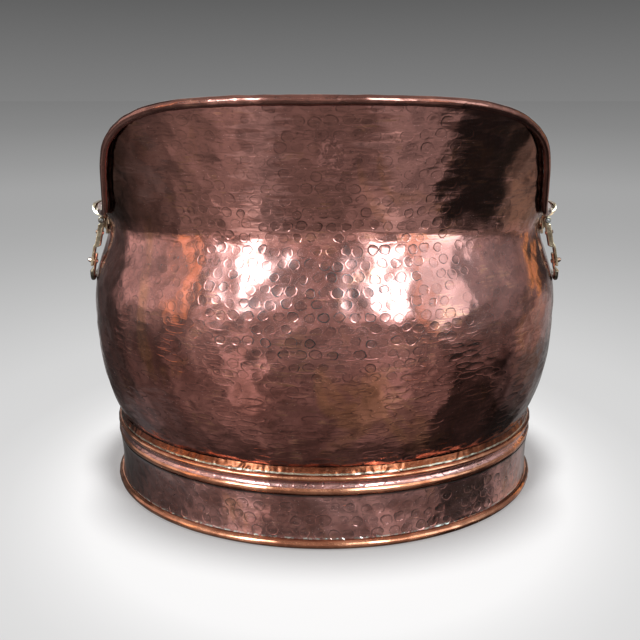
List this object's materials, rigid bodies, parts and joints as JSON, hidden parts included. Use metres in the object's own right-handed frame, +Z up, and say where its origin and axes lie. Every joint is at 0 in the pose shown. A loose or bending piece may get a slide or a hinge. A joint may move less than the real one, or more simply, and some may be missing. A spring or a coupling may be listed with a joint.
{
  "type": "coal scuttle",
  "caption": "Oval hammered copper coal scuttle on a beaded spreading foot, the rolled rim high at front and back and dipping at each end, where a hinged brass drop handle hangs.",
  "frame": {"origin": "on the floor below the middle of the oval foot", "axes": "+X along the length from the left handle to the right one, +Y from the side facing the camera to the back, +Z up"},
  "size_m": [0.4314, 0.3982, 0.3554],
  "materials": {
    "hammered_copper": "hand-hammered and polished copper with a dark patina",
    "bright_copper": "polished copper",
    "rivet_copper": "worn copper",
    "brass": "aged polished brass",
    "rim_steel": "dull drawn wire",
    "solder": "dull grey solder"
  },
  "bodies": {
    "scuttle": {"body_shell": "hammered_copper", "rim_wire": "rim_steel", "base_plate": "hammered_copper", "foot_band": "hammered_copper", "foot_base_ring": "bright_copper", "foot_lower_bead": "bright_copper", "foot_upper_bead": "bright_copper", "solder_seam": "solder", "left_handle_plate": "brass", "left_plate_rivet_front": "rivet_copper", "left_plate_rivet_middle": "rivet_copper", "left_plate_rivet_back": "rivet_copper", "left_front_pin": "rim_steel", "left_back_pin": "rim_steel", "right_handle_plate": "brass", "right_plate_rivet_front": "rivet_copper", "right_plate_rivet_middle": "rivet_copper", "right_plate_rivet_back": "rivet_copper", "right_front_pin": "rim_steel", "right_back_pin": "rim_steel"},
    "left_handle": {"left_grip": "brass", "left_front_strap": "brass", "left_front_strap_rivet": "rivet_copper", "left_front_grip_rivet": "rivet_copper", "left_back_strap": "brass", "left_back_strap_rivet": "rivet_copper", "left_back_grip_rivet": "rivet_copper"},
    "right_handle": {"right_grip": "brass", "right_front_strap": "brass", "right_front_strap_rivet": "rivet_copper", "right_front_grip_rivet": "rivet_copper", "right_back_strap": "brass", "right_back_strap_rivet": "rivet_copper", "right_back_grip_rivet": "rivet_copper"}
  },
  "joints": [
    {"name": "left_handle_swing", "type": "hinge", "parent": "scuttle", "child": "left_handle", "pos_m": [-0.19593, 0, 0.2495], "axis": [0, 1, 0], "range_deg": [0, 100]},
    {"name": "right_handle_swing", "type": "hinge", "parent": "scuttle", "child": "right_handle", "pos_m": [0.19593, 0, 0.2495], "axis": [0, -1, 0], "range_deg": [0, 100]}
  ]
}
